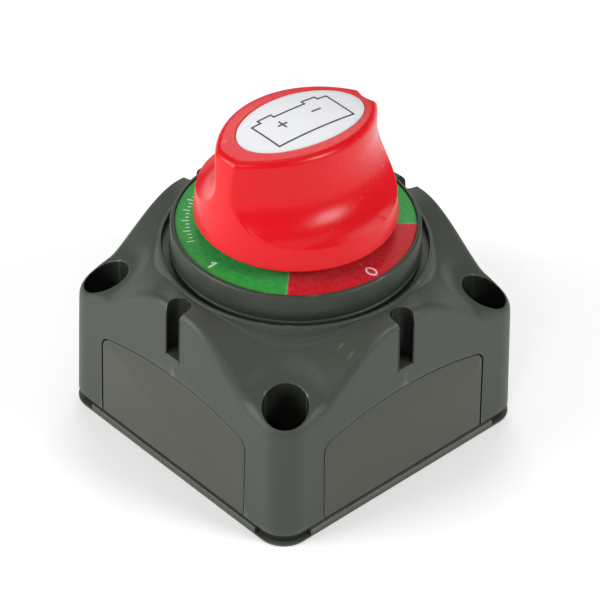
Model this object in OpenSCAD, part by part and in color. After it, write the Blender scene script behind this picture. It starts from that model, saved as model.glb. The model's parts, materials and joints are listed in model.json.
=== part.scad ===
// Two-position battery switch: square housing for cables, round dial and a quarter-turn knob.
// The origin is at the middle of the underside, +Z points up through the knob.

/* [Housing] */
// Side length of the square footprint
body_w = 69; // [66:0.5:72]
// Radius of the four vertical corners
body_corner_r = 6; // [4:0.5:7]
// Lean of each side wall, in millimetres of half width lost per millimetre of height
draft = 0.02; // [0.015:0.001:0.02]
// Height of the four screw corners
corner_z = 30; // [29.5:0.5:31]
// Height of the flat deck that carries the dial
deck_z = 43.5; // [43:0.5:44]
// Distance between two neighbouring mounting screws
screw_pitch = 56.14; // [55:0.01:57]
// Diameter of the deep round pocket that takes a screw head
pocket_d = 9.5; // [9:0.1:10]
// Diameter of the hole that takes the screw
screw_hole_d = 5.2; // [4.5:0.1:5.5]
// Diameter of the round end of each linking slot
link_d = 5; // [4:0.1:5.4]
// Width of the mouth of each linking slot
link_mouth = 3.8; // [3:0.1:4]
// Height of the bottom of each linking slot
link_floor_z = 30.9; // [30:0.1:33]

/* [Side covers] */
// Width of a removable side cover's opening
cover_w = 45.6; // [42:0.2:46]
// Highest point of the arched opening
cover_top_z = 25.9; // [25:0.1:26]
// Radius of the arch
cover_arch_r = 78; // [70:1:90]
// Gap all round a cover
cover_gap = 0.3; // [0.2:0.05:0.4]

/* [Dial] */
// Outer diameter of the collar
collar_d = 52.6; // [51:0.2:53]
// Diameter of the label ring
label_d = 50.2; // [48:0.2:50.4]
// Height of the label's face
label_z = 49.2; // [49:0.1:49.4]
// Outer diameter of the rim that stands round the collar
rim_d = 57.4; // [57:0.1:58]

/* [Knob] */
// Total height of the switch, up to the crown of the knob
total_h = 75.2; // [74.5:0.1:76]
// Largest diameter of the knob, at its lower edge
knob_d = 42.6; // [41:0.2:43]
// Height of the knob's lower edge
knob_z = 51.9; // [51.5:0.1:52.2]
// Thickness of the grip at its middle
grip_w = 24.5; // [24:0.1:26]
// Radius of the grip's two long faces, seen from above
grip_r = 25.4; // [25:0.1:27]
// Size of the rounded hollow at the foot of the grip, across and in height
scoop = [7.6, 10]; // [7:0.1:10.5]
// Size of the oval badge, along and across the grip
badge_size = [31.6, 17.4]; // [17:0.1:32]
// How far the badge sits off the axis, towards the far end of the grip
badge_y = 0.9; // [0:0.1:1.5]

/* [Switch works] */
// Diameter of the two terminal studs
stud_d = 10; // [8:1:10]
// Distance between the two studs
stud_pitch = 27; // [26.5:0.1:27]
// Diameter of the spindle
spindle_d = 10; // [9.8:0.1:10]
// Diameter of the round contact chamber
chamber_d = 43; // [43:0.1:44]

/* [Hidden] */

$fn = 64;
over = 1;                       // how far a cutter runs past the face that it cuts

half = body_w / 2;
screw_at = screw_pitch / 2;
plate_edge_z = 1.9;             // base plate: visible edge, shadow step, and where the case starts
plate_z = 2.6;
case_z = 2.7;
foot_z = 0.8;                   // the four corner feet reach lower than the rest of the case
lip_z = 0.6;                    // the thin lip of the base plate under those feet
foot_from = 26.5;
wall_in = 31.4;                 // half width of the cable chamber
cable_top_z = 24.6;             // underside of the terminal base
floor_z = 28;                   // floor of the contact chamber
roof_z = 39.5;                  // roof of the contact chamber
base_r = 27;                    // radius of the terminal base
recess_z = 42;                  // floor of the annular recess round the dial hub
recess_r = 27.9;
rim_z = deck_z + 0.4;
hub_r = 9;
hub_z = 49;
link_at = half - 2.4;           // axis of each linking slot
spindle_r = spindle_d / 2;
run = 0.05;                     // radial running clearance
stud_at = stud_pitch / 2;
flange_z = 36.2;                // underside and top of the rotor's flange
flange_top = 39.2;
flange_r = 19.5;
ball_z = 37.7;
ball_r = 1.4;
ball_at = 19.6;
ball_angles = [20, 110];
lug_angle = 240;
lug_half = 8;
stop_gap = 1;
head_z = 30.3;                  // upper face of the stud heads
tip_z = 30.35;
bar_z = 31.05;
bar_top = 33.05;
square_drive = 7;
spindle_top = 64;
web_z = 66;
crown_r = 126;                  // the top of the grip is part of a large sphere
crown_y = -8.8;                 // its highest point lies towards the near end
badge_t = 0.9;                  // depth of the badge's recess, measured square to the sphere
screws_r = 24.65;               // radius at which the terminal base is screwed down
post_r = 6.6;                   // posts that carry the mounting screws through the cable chamber
gland = [6.6, 44.5, 46.3];      // spindle seal's groove: radius, lower and upper face
shoulder = 1.2;                 // ledge behind the edge of a side cover
skin_t = 1.3;                   // thickness of a cover's flush skin, and the depth that its plug reaches
plug_depth = 2.9;
foot_hole_r = 5.5;              // foot left round each mounting screw
hollow = [10, 18.6, 56.5];      // hollow under the knob: inner and outer radius, roof
knob_hub = [8.5, 49.8];         // hub under the knob: radius and lower end
skirt_z = 58.5;                 // top of the knob's upright skirt
knob_draft = [0.6, 1.5];        // loss of radius up to the skirt's top and up to the crown
cove_z = 67.4;                  // height of the centre of the scoop's rounded foot
notch = [4, 1.8, 60];           // flute at the far end of the grip: radius, offset from the rim, foot
screw_head = [3.6, 2.6];        // knob screw: head radius and height
label_r_in = 12;
label_t = 0.4;
stud_end = [6, 11.8, 4.4];      // free end of a stud: where it starts and ends, and its radius
pin_r = 3;                      // lower pin of the spindle
nut_z = 12;                     // underside and height of the terminal nuts
nut_h = 8;
nut_af = 17;

// Height of the top surface over one quarter: level near the middle lines, sunk towards the corners.
function sink(w) = (1 - cos(180 * max(0, min(1, (w - 3) / 25.5)))) / 2;
function top_z(x, y) = deck_z - (deck_z - corner_z) * sink(abs(x * y) / half);

// Distance from the axis to a rounded square of half width h, in the direction a.
function edge_r(a, h) =
    let (c = abs(cos(a)), s = abs(sin(a)), k = h - body_corner_r, flat = h / max(c, s))
    flat * min(c, s) <= k ? flat
        : k * (c + s) + sqrt(pow(k * (c + s), 2) - 2 * k * k + pow(body_corner_r, 2));

// A point of the wall's upper edge, with the lean of the wall taken in.
function wall_top(a) =
    let (r = edge_r(a, half), z = top_z(r * cos(a), r * sin(a)), q = edge_r(a, half - draft * z))
    [q * cos(a), q * sin(a), top_z(q * cos(a), q * sin(a))];

function wall_foot(a) = let (q = edge_r(a, half - draft * foot_z)) [q * cos(a), q * sin(a), foot_z];

// Points of an arc about (cx, cy).
function arc(cx, cy, r, from, to, steps) =
    [for (i = [0 : steps]) let (a = from + (to - from) * i / steps) [cx + r * cos(a), cy + r * sin(a)]];

// The outer block of the case as one closed surface, ring by ring from the foot to the crown.
module block() {
    step = 4.5;
    n = 360 / step;
    shares = [1, 0.95, 0.89, 0.83, 0.76, 0.68, 0.55];
    m = len(shares);
    rings = concat(
        [[for (i = [0 : n - 1]) wall_foot(i * step)]],
        [for (t = shares) [for (i = [0 : n - 1])
            let (p = wall_top(i * step), x = p[0] * t, y = p[1] * t) [x, y, t == 1 ? p[2] : top_z(x, y)]]]
    );
    points = concat([for (ring = rings) each ring], [[0, 0, deck_z], [0, 0, foot_z]]);
    crown = n * (m + 1);
    faces = concat(
        [for (k = [0 : m - 1], i = [0 : n - 1]) let (j = (i + 1) % n)
            each [[k * n + i, (k + 1) * n + i, k * n + j], [k * n + j, (k + 1) * n + i, (k + 1) * n + j]]],
        [for (i = [0 : n - 1]) [m * n + i, crown, m * n + (i + 1) % n]],
        [for (i = [0 : n - 1]) [(i + 1) % n, crown + 1, i]]
    );
    polyhedron(points, faces);
}

module tube(r_out, r_in, z0, z1) {
    translate([0, 0, z0]) difference() {
        cylinder(r = r_out, h = z1 - z0);
        translate([0, 0, -over]) cylinder(r = r_in, h = z1 - z0 + 2 * over);
    }
}

module rod(r, z0, z1) {
    translate([0, 0, z0]) cylinder(r = r, h = z1 - z0);
}

module rounded_slab(h, r, z0, z1) {
    translate([0, 0, z0]) linear_extrude(z1 - z0) {
        square([2 * h, 2 * (h - r)], center = true);
        square([2 * (h - r), 2 * h], center = true);
        for (x = [-1, 1], y = [-1, 1]) translate([x * (h - r), y * (h - r)]) circle(r);
    }
}

module at_corners(d) {
    for (x = [-1, 1], y = [-1, 1]) translate([x * d, y * d, 0]) children();
}

module at_sides() {
    for (a = [0, 90, 180, 270]) rotate([0, 0, a]) children();
}

// A slice of a ring, centred on the angle a.
module sector(r_in, r_out, a, half_angle, z0, z1) {
    rotate([0, 0, a - half_angle]) rotate_extrude(angle = 2 * half_angle)
        translate([r_in, z0]) square([r_out - r_in, z1 - z0]);
}

// A round wire along a helix: mean radius r, wire radius w, from z0 to z1.
module coil(r, w, z0, z1, turns, per_turn, sides) {
    n = turns * per_turn;
    path = [for (i = [0 : n]) [r * cos(360 * i / per_turn), r * sin(360 * i / per_turn),
                               z0 + w + (z1 - z0 - 2 * w) * i / n]];
    points = [for (i = [0 : n], k = [0 : sides - 1])
        let (a = 360 * i / per_turn, b = 360 * k / sides, q = r + w * cos(b))
        [q * cos(a), q * sin(a), path[i][2] + w * sin(b)]];
    faces = concat(
        [for (i = [0 : n - 1], k = [0 : sides - 1]) let (j = (k + 1) % sides)
            each [[i * sides + k, i * sides + j, (i + 1) * sides + k],
                  [i * sides + j, (i + 1) * sides + j, (i + 1) * sides + k]]],
        [[for (k = [sides - 1 : -1 : 0]) k]],
        [[for (k = [0 : sides - 1]) n * sides + k]]
    );
    polyhedron(points, faces);
}

// Outline of a side cover, width by height, taken in by a margin on the arch and the two sides.
module cover_outline(margin, bottom_z) {
    r = max(0.8, 3 - margin);
    w = cover_w / 2 - margin;
    arch = cover_arch_r - margin;
    arch_c = cover_top_z - cover_arch_r;
    corner_c = arch_c + sqrt(pow(arch - r, 2) - pow(w - r, 2));
    lean = atan2(w - r, corner_c - arch_c);
    polygon(concat(
        [[-w, bottom_z], [w, bottom_z]],
        arc(w - r, corner_c, r, 0, 90 - lean, 6),
        arc(0, arch_c, arch, 90 - lean, 90 + lean, 14),
        arc(r - w, corner_c, r, 90 + lean, 180, 6)
    ));
}

// A plate on the front wall, from the depth d0 to d1 below the leaning outer face.
module on_front_wall(d0, d1) {
    translate([0, -half, 0]) rotate([-atan(draft), 0, 0]) translate([0, d1, 0])
        rotate([90, 0, 0]) linear_extrude(d1 - d0) children();
}

module case() {
    color([0.27, 0.29, 0.26])
    difference() {
        union() {
            block();
            rod(rim_d / 2, corner_z + 2, rim_z);
            rod(hub_r, corner_z + 2, hub_z);
        }
        tube(recess_r, hub_r, recess_z, rim_z + over);
        // cable chamber, with a post round each mounting screw
        difference() {
            rounded_slab(wall_in, 3, foot_z - over, cable_top_z);
            at_corners(screw_at) rod(post_r, foot_z - 2 * over, cable_top_z + over);
        }
        // the underside is raised everywhere but at the corner feet
        difference() {
            translate([-half, -half, foot_z - over]) cube([body_w, body_w, case_z - foot_z + over]);
            at_corners(screw_at) rod(foot_hole_r, foot_z - 2 * over, case_z + over);
            for (x = [foot_from, -half - over], y = [foot_from, -half - over])
                translate([x, y, foot_z - 2 * over])
                    cube([half + over - foot_from, half + over - foot_from, case_z + 2 * over]);
        }
        rod(base_r + 0.2, cable_top_z - over, floor_z);
        difference() {
            rod(chamber_d / 2, floor_z - over, roof_z);
            // the two blocks that stop the knob
            for (a = [lug_angle - 2 * lug_half - stop_gap, lug_angle + 90 + 2 * lug_half + stop_gap])
                sector(chamber_d / 2 - 1.3, chamber_d / 2 + over, a, lug_half, flange_z - 1, roof_z + over);
        }
        for (a = [ball_angles[0], ball_angles[1], ball_angles[1] + 90]) rotate([0, 0, a])
            translate([chamber_d / 2, 0, 0]) rod(1.8, flange_z, flange_top);
        rod(spindle_r + run, roof_z - over, hub_z + over);
        tube(gland[0], 1, gland[1], gland[2]);
        at_corners(screw_at) {
            rod(screw_hole_d / 2, -over, 14);
            rod(pocket_d / 2, 12, deck_z);
        }
        at_sides() {
            translate([0, -link_at, 0]) rod(link_d / 2, link_floor_z, deck_z + over);
            translate([-link_mouth / 2, -half - over, link_floor_z]) cube([link_mouth, 3, deck_z]);
            on_front_wall(-over, skin_t + 0.2) cover_outline(0, foot_z - over);
            on_front_wall(skin_t - 0.3, plug_depth + 1.1) cover_outline(shoulder, foot_z - over);
        }
        for (a = [45 : 90 : 315]) rotate([0, 0, a]) translate([screws_r, 0, 0]) rod(1.3, floor_z - over, 35);
    }
}

// Closes the open underside of the case; a thin lip runs on under the corner feet.
module base_plate() {
    color([0.3, 0.31, 0.29])
    difference() {
        union() {
            rounded_slab(half, body_corner_r, 0, plate_edge_z);
            rounded_slab(half - 0.9, body_corner_r - 0.9, plate_edge_z - over, plate_z);
        }
        at_corners(screw_at) {
            rod(foot_hole_r + 0.3, lip_z, plate_z + over);
            rod(screw_hole_d / 2, -over, plate_z + over);
        }
        notch_w = half + over + 0.3 - foot_from;
        for (x = [foot_from - 0.3, -half - over], y = [foot_from - 0.3, -half - over])
            translate([x, y, lip_z]) cube([notch_w, notch_w, plate_z]);
    }
}

// A flush cover with a plug behind it that fills the wall's opening.
module side_cover(turn) {
    color([0.28, 0.3, 0.27]) rotate([0, 0, turn]) {
        on_front_wall(0, skin_t) cover_outline(cover_gap, case_z + 0.1);
        on_front_wall(skin_t - 0.1, plug_depth) cover_outline(shoulder + cover_gap, case_z + 0.1);
    }
}

module dial_collar() {
    r = collar_d / 2;
    seat_r = label_d / 2 + 0.1;
    color([0.25, 0.27, 0.25]) rotate_extrude() polygon(concat(
        [[hub_r + 0.2, recess_z], [r, recess_z]],
        arc(r - 1, label_z - 0.7, 1, 0, 90, 6),
        [[seat_r, label_z + 0.3], [seat_r, label_z - label_t], [hub_r + 0.2, label_z - label_t]]
    ));
}

module dial_label() {
    color("green") tube(label_d / 2, label_r_in, label_z - label_t, label_z);
}

// The cutter for one hollow beside the grip: outside the grip's long face, down to a round cove.
module scoop_cutter() {
    c = grip_w / 2 - grip_r;
    translate([c, 0, 0]) rotate_extrude() polygon(concat(
        [[grip_r, total_h + over]],
        [for (t = [0 : 7 : 84]) [grip_r + scoop[0] * (1 - cos(t)), cove_z - scoop[1] * sin(t)]],
        [[60, cove_z - scoop[1]], [60, total_h + over]]
    ));
}

module badge_oval(grow) {
    polygon([for (a = [0 : 7.5 : 359])
        [(badge_size[1] / 2 + grow) * cos(a), badge_y + (badge_size[0] / 2 + grow) * sin(a)]]);
}

// The sphere that shapes the top of the grip, taken in by a depth.
module crown_ball(depth) {
    translate([0, crown_y, total_h - crown_r]) sphere(crown_r - depth, $fn = 180);
}

module knob() {
    r = knob_d / 2;
    color([0.9, 0.13, 0.16])
    difference() {
        intersection() {
            rotate_extrude() polygon(concat(
                [[0, knob_z], [r - 0.6, knob_z], [r, knob_z + 0.6], [r - knob_draft[0], skirt_z]],
                [[r - knob_draft[1], total_h + over], [0, total_h + over]]
            ));
            crown_ball(0);
        }
        for (s = [0, 180]) rotate([0, 0, s]) scoop_cutter();
        translate([0, r + notch[1], notch[2]]) cylinder(r = notch[0], h = total_h);
        tube(hollow[1], hollow[0], knob_z - over, hollow[2]);
        difference() {
            translate([0, 0, web_z + 4]) linear_extrude(total_h + over - web_z - 4) badge_oval(0.3);
            crown_ball(badge_t);
        }
        translate([-square_drive / 2 - run, -square_drive / 2 - run, knob_z - over])
            cube([square_drive + 2 * run, square_drive + 2 * run, spindle_top + 1.2 - knob_z]);
        rod(2.2, spindle_top - over, web_z + over);
        rod(4.2, web_z, total_h);
    }
    color([0.9, 0.13, 0.16]) difference() {
        rod(knob_hub[0], knob_hub[1], knob_z);
        translate([-square_drive / 2 - run, -square_drive / 2 - run, 49])
            cube([square_drive + 2 * run, square_drive + 2 * run, knob_z - 48]);
    }
}

module knob_badge() {
    color("white") difference() {
        intersection() {
            translate([0, 0, web_z + 4]) linear_extrude(total_h + over - web_z - 4) badge_oval(0);
            crown_ball(0);
        }
        crown_ball(badge_t - 0.02);
    }
}

module knob_screw() {
    color("silver") difference() {
        union() {
            rod(screw_head[0], web_z + 0.02, web_z + screw_head[1]);
            rod(1.95, spindle_top - 9, web_z + 1);
        }
        for (a = [0, 90]) rotate([0, 0, a]) translate([-2, -0.4, web_z + 1.4]) cube([4, 0.8, 2]);
    }
}

module spindle() {
    s = square_drive / 2;
    color([0.78, 0.66, 0.36]) difference() {
        union() {
            rod(pin_r, 25.6, floor_z + 0.3);
            rod(spindle_r, floor_z + 0.3, flange_z);
            intersection() {
                rod(spindle_r, flange_z - over, flange_top);
                translate([-4, -6, flange_z - over]) cube([8, 12, 5]);
            }
            rod(spindle_r, flange_top, knob_hub[1]);
            translate([-s, -s, knob_hub[1] - 0.1]) cube([2 * s, 2 * s, spindle_top - knob_hub[1] + 0.1]);
        }
        rod(2.05, spindle_top - 10, spindle_top + over);
    }
}

module spindle_seal() {
    color("black") rotate_extrude() translate([gland[0] - 0.8, (gland[1] + gland[2]) / 2]) circle(0.72);
}

module thrust_washer() {
    color("ivory") tube(knob_hub[0], spindle_r + 0.3, hub_z + 0.02, hub_z + 0.5);
}

// Turns with the spindle, drives the contact bridge by four posts and carries the two detent balls.
module rotor() {
    color([0.85, 0.83, 0.75])
    difference() {
        union() {
            rod(flange_r, flange_z, flange_top);
            sector(flange_r - over, 20.9, lug_angle, lug_half, flange_z + 0.2, flange_top - 0.2);
            for (x = [9.5, -12.5], y = [6.3, -8.3]) translate([x, y, 31.5]) cube([3, 2, flange_z - 30.5]);
        }
        tube(8.6, 5.9, flange_z - over, flange_top - 0.8);
        intersection() {
            rod(spindle_r + 0.03, flange_z - over, flange_top + over);
            translate([-4.03, -6, flange_z - 2 * over]) cube([8.06, 12, 8]);
        }
        for (a = ball_angles) rotate([0, 90, a]) translate([-ball_z, 0, 12]) cylinder(r = 1.45, h = 10);
    }
}

module detent_balls() {
    color("silver") for (a = ball_angles) rotate([0, 0, a]) translate([ball_at, 0, ball_z]) sphere(ball_r);
}

module detent_springs() {
    color("gray") for (a = ball_angles) rotate([0, 90, a])
        translate([-ball_z, 0, 0]) coil(1.05, 0.22, 12.1, ball_at - ball_r - 0.1, 6, 10, 6);
}

// Copper bar that joins the two stud heads when the switch is on.
module contact_bridge() {
    color([0.8, 0.45, 0.3]) difference() {
        union() {
            translate([-18.5, -6, bar_z]) cube([37, 12, bar_top - bar_z]);
            rod(9, bar_z, bar_top);
        }
        rod(spindle_r + 0.4, bar_z - over, bar_top + over);
    }
}

module contact_tips() {
    color("silver") for (x = [-stud_at, stud_at]) translate([x, 0, 0]) rod(3.5, tip_z, bar_z);
}

module contact_spring() {
    color("gray") coil(6.9, 0.5, bar_top + 0.05, 37.75, 3, 16, 8);
}

module spring_seat() {
    color("silver") tube(8.4, 6, 37.8, flange_top - 0.85);
}

// Insulating floor of the contact chamber, with the studs' holes, a parting wall and two parking pads.
module terminal_base() {
    color([0.2, 0.2, 0.2]) difference() {
        union() {
            rod(base_r, cable_top_z, floor_z - 0.02);
            translate([-1, -14, 10]) cube([2, 28, cable_top_z - 9]);
            for (y = [12, -19]) translate([-3.5, y, floor_z - over]) cube([7, 7, 31 - floor_z + over]);
        }
        rod(pin_r + run, 25.4, floor_z + over);
        on_studs() rod(stud_d / 2 + 0.1, cable_top_z - over, floor_z + over);
        tube(23, 21.55, floor_z - 0.7, floor_z + over);
        for (a = [45 : 90 : 315]) rotate([0, 0, a]) translate([screws_r, 0, 0])
            rod(1.6, cable_top_z - over, floor_z + over);
    }
}

module chamber_seal() {
    color("black") tube(22.8, 21.8, floor_z - 0.68, floor_z - 0.04);
}

module base_screws() {
    color("silver") for (a = [45 : 90 : 315]) rotate([0, 0, a]) translate([screws_r, 0, 0]) difference() {
        union() {
            rod(1.25, cable_top_z - over, 34);
            rod(2.6, cable_top_z - 1.8, cable_top_z - 0.02);
        }
        for (b = [0, 90]) rotate([0, 0, b]) translate([-1.5, -0.3, cable_top_z - 2.8]) cube([3, 0.6, 1.8]);
    }
}

// Threaded stud with a flat contact head.
module terminal_stud(x) {
    color([0.75, 0.7, 0.62]) translate([x, 0, 0]) {
        rod(7.4, floor_z, head_z);
        rod(stud_d / 2, stud_end[1], floor_z + over);
        rod(stud_end[2], stud_end[0], stud_end[1] + over);
        translate([0, 0, stud_end[0] - 0.5]) cylinder(r1 = stud_end[2] - 0.5, r2 = stud_end[2], h = 0.5);
    }
}

module on_studs() {
    for (x = [-stud_at, stud_at]) translate([x, 0, 0]) children();
}

module flat_washers() {
    color("silver") on_studs() tube(10, stud_d / 2 + 0.25, cable_top_z - 2.02, cable_top_z - 0.02);
}

// Split washers: a ring with a narrow gap.
module spring_washers() {
    color("silver") on_studs() difference() {
        tube(8.4, stud_d / 2 + 0.1, cable_top_z - 4.5, cable_top_z - 2.04);
        translate([0, -0.6, cable_top_z - 5]) cube([10, 1.2, 4]);
    }
}

module terminal_nuts() {
    across_corners = nut_af / cos(30);
    color("silver") on_studs() difference() {
        translate([0, 0, nut_z]) cylinder(r = across_corners / 2, h = nut_h, $fn = 6);
        rod(stud_d / 2 + 0.02, nut_z - over, nut_z + nut_h + over);
    }
}

case();
base_plate();
side_cover(0);  // side_cover_front
side_cover(90);  // side_cover_right
side_cover(180);  // side_cover_back
side_cover(270);  // side_cover_left
dial_collar();
dial_label();
knob();
knob_badge();
knob_screw();
spindle();
spindle_seal();
thrust_washer();
rotor();
detent_balls();
detent_springs();
contact_bridge();
contact_tips();
contact_spring();
spring_seat();
terminal_base();
chamber_seal();
base_screws();
terminal_stud(-stud_at);  // line_stud
terminal_stud(stud_at);  // load_stud
flat_washers();
spring_washers();
terminal_nuts();
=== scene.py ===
import json
import math
import bmesh
import bpy
from mathutils import Matrix, Vector


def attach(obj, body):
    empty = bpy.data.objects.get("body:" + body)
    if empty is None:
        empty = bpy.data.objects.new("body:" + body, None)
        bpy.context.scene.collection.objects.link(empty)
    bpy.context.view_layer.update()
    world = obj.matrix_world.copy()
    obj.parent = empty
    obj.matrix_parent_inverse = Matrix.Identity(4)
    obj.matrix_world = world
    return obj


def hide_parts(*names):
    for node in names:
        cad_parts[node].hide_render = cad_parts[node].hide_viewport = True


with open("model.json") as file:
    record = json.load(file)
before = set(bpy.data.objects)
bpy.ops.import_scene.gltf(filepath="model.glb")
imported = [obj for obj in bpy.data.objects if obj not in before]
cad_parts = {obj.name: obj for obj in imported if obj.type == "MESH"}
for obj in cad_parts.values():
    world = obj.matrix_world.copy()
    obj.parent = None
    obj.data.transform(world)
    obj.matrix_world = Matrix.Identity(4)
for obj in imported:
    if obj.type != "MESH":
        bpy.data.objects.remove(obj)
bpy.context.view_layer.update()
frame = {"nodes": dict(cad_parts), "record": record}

mm = 0.001
cornerSigns = ((1, 1), (-1, 1), (-1, -1), (1, -1))
scene = bpy.context.scene


# ---------- small helpers ----------

def lerp(a, b, t):
    return a + (b - a) * t


def newObject(name, bm, material, smoothAngle=32):
    # turns a bmesh in millimetres into a finished object in metres
    bmesh.ops.remove_doubles(bm, verts=bm.verts, dist=0.0008)
    bmesh.ops.recalc_face_normals(bm, faces=bm.faces)
    bmesh.ops.scale(bm, vec=(mm, mm, mm), verts=bm.verts)
    mesh = bpy.data.meshes.new(name)
    bm.to_mesh(mesh)
    bm.free()
    obj = bpy.data.objects.new(name, mesh)
    scene.collection.objects.link(obj)
    if material is not None:
        mesh.materials.append(material)
    shadeSmooth(mesh, smoothAngle)
    return obj


def shadeSmooth(mesh, smoothAngle):
    mesh.polygons.foreach_set("use_smooth", [True] * len(mesh.polygons))
    mesh.set_sharp_from_angle(angle=math.radians(smoothAngle))


def spinProfile(points, steps, angle=360, start=0):
    # a line of points (r, z) swept round Z
    bm = bmesh.new()
    verts = [bm.verts.new((r, 0, z)) for r, z in points]
    edges = [bm.edges.new(pair) for pair in zip(verts, verts[1:])]
    full = abs(angle - 360) < 0.001
    bmesh.ops.spin(bm, geom=verts + edges, cent=(0, 0, 0), axis=(0, 0, 1), steps=steps,
                   angle=math.radians(angle), use_merge=full)
    if start:
        bmesh.ops.rotate(bm, cent=(0, 0, 0), matrix=Matrix.Rotation(math.radians(start), 3, "Z"), verts=bm.verts)
    return bm


def closedRing(points, steps, angle=360, start=0):
    # a closed profile swept round Z, with flat ends when it doesn't go all the way
    bm = spinProfile(points + points[:1], steps, angle, start)
    bmesh.ops.remove_doubles(bm, verts=bm.verts, dist=0.0005)
    if abs(angle) < 360:
        bmesh.ops.holes_fill(bm, edges=[e for e in bm.edges if e.is_boundary], sides=0)
    return bm


def arc(cx, cz, r, fromAngle, toAngle, steps):
    turns = [math.radians(lerp(fromAngle, toAngle, i / steps)) for i in range(steps + 1)]
    return [(cx + r * math.cos(a), cz + r * math.sin(a)) for a in turns]


def prism(outline, z0, z1):
    # an outline in XY, pulled up from z0 to z1
    bm = bmesh.new()
    face = bm.faces.new([bm.verts.new((x, y, z0)) for x, y in outline])
    pulled = bmesh.ops.extrude_face_region(bm, geom=[face])["geom"]
    bmesh.ops.translate(bm, vec=(0, 0, z1 - z0), verts=[g for g in pulled if isinstance(g, bmesh.types.BMVert)])
    bmesh.ops.recalc_face_normals(bm, faces=bm.faces)
    return bm


def disc(r, segments, x=0, y=0):
    turns = [2 * math.pi * i / segments for i in range(segments)]
    return [(x + r * math.cos(a), y + r * math.sin(a)) for a in turns]


def joinInto(target, source):
    # adds the source bmesh to the target and frees the source
    spare = bpy.data.meshes.new("spare")
    source.to_mesh(spare)
    source.free()
    target.from_mesh(spare)
    bpy.data.meshes.remove(spare)
    return target


def rotated(bm, degrees):
    bmesh.ops.rotate(bm, cent=(0, 0, 0), matrix=Matrix.Rotation(math.radians(degrees), 3, "Z"), verts=bm.verts)
    return bm


def cutWith(obj, cutterBmesh, operation="DIFFERENCE", selfCrossing=False):
    # a boolean with a cutter in millimetres, applied to the object's mesh
    bmesh.ops.remove_doubles(cutterBmesh, verts=cutterBmesh.verts, dist=0.0005)
    bmesh.ops.recalc_face_normals(cutterBmesh, faces=cutterBmesh.faces)
    bmesh.ops.scale(cutterBmesh, vec=(mm, mm, mm), verts=cutterBmesh.verts)
    mesh = bpy.data.meshes.new("cutter")
    cutterBmesh.to_mesh(mesh)
    cutterBmesh.free()
    cutter = bpy.data.objects.new("cutter", mesh)
    scene.collection.objects.link(cutter)
    modifier = obj.modifiers.new("cut", "BOOLEAN")
    modifier.object = cutter
    modifier.operation = operation
    modifier.solver = "EXACT"
    modifier.use_self = selfCrossing
    graph = bpy.context.evaluated_depsgraph_get()
    result = bpy.data.meshes.new_from_object(obj.evaluated_get(graph))
    obj.modifiers.remove(modifier)
    old = obj.data
    obj.data = result
    bpy.data.meshes.remove(old)
    bpy.data.objects.remove(cutter)
    bpy.data.meshes.remove(mesh)
    return obj


def place(obj, body, slotName, *nodes):
    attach(obj, body)
    if nodes:
        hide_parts(*nodes)
    return obj


# ---------- materials ----------

def newSocket(tree, name, direction, kind, value=None):
    socket = tree.interface.new_socket(name=name, in_out=direction, socket_type=kind)
    if value is not None:
        socket.default_value = value


def link(tree, fromSocket, toSocket):
    tree.links.new(fromSocket, toSocket)


def makeGrainGroup():
    # moulded surface: fine spark-eroded grain, slow unevenness and a colour drift, from object coordinates
    tree = bpy.data.node_groups.new("mouldedGrain", "ShaderNodeTree")
    newSocket(tree, "Grain Size", "INPUT", "NodeSocketFloat", 4200)
    newSocket(tree, "Drift Size", "INPUT", "NodeSocketFloat", 60)
    newSocket(tree, "Height", "OUTPUT", "NodeSocketFloat")
    newSocket(tree, "Drift", "OUTPUT", "NodeSocketFloat")
    newSocket(tree, "Speck", "OUTPUT", "NodeSocketFloat")
    start = tree.nodes.new("NodeGroupInput")
    end = tree.nodes.new("NodeGroupOutput")
    place3d = tree.nodes.new("ShaderNodeTexCoord")
    grain = tree.nodes.new("ShaderNodeTexNoise")
    grain.inputs["Detail"].default_value = 3
    grain.inputs["Roughness"].default_value = 0.65
    link(tree, place3d.outputs["Object"], grain.inputs["Vector"])
    link(tree, start.outputs["Grain Size"], grain.inputs["Scale"])
    cells = tree.nodes.new("ShaderNodeTexVoronoi")
    link(tree, place3d.outputs["Object"], cells.inputs["Vector"])
    link(tree, start.outputs["Grain Size"], cells.inputs["Scale"])
    mix = tree.nodes.new("ShaderNodeMath")
    mix.operation = "ADD"
    link(tree, grain.outputs["Fac"], mix.inputs[0])
    link(tree, cells.outputs["Distance"], mix.inputs[1])
    link(tree, mix.outputs[0], end.inputs["Height"])
    drift = tree.nodes.new("ShaderNodeTexNoise")
    drift.inputs["Detail"].default_value = 4
    link(tree, place3d.outputs["Object"], drift.inputs["Vector"])
    link(tree, start.outputs["Drift Size"], drift.inputs["Scale"])
    link(tree, drift.outputs["Fac"], end.inputs["Drift"])
    speck = tree.nodes.new("ShaderNodeMapRange")
    speck.inputs["From Min"].default_value = 0.6
    speck.inputs["From Max"].default_value = 0.78
    link(tree, grain.outputs["Fac"], speck.inputs["Value"])
    link(tree, speck.outputs["Result"], end.inputs["Speck"])
    return tree


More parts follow.
